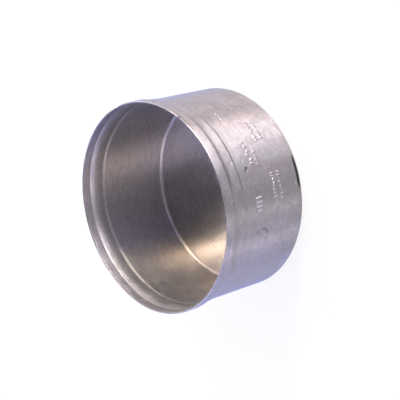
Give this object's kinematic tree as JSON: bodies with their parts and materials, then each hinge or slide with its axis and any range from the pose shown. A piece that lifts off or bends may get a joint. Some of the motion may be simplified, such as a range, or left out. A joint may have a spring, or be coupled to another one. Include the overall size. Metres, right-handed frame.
{
  "type": "duct end cap",
  "caption": "Round cup pressed from thin sheet metal, with a mouth opened out in two small steps, that slips over the end of a round duct and closes it.",
  "frame": {"origin": "centre of the closed end's outer face, on which the cap stands", "axes": "+Z along the cap's axis, from the closed end out of the mouth; X and Y are any two directions across it"},
  "size_m": [0.1062, 0.1062, 0.055],
  "materials": {
    "sheet_metal": "satin, with fine drawing lines round the axis"
  },
  "bodies": {
    "root": {"end_cap": "sheet_metal"}
  },
  "joints": []
}
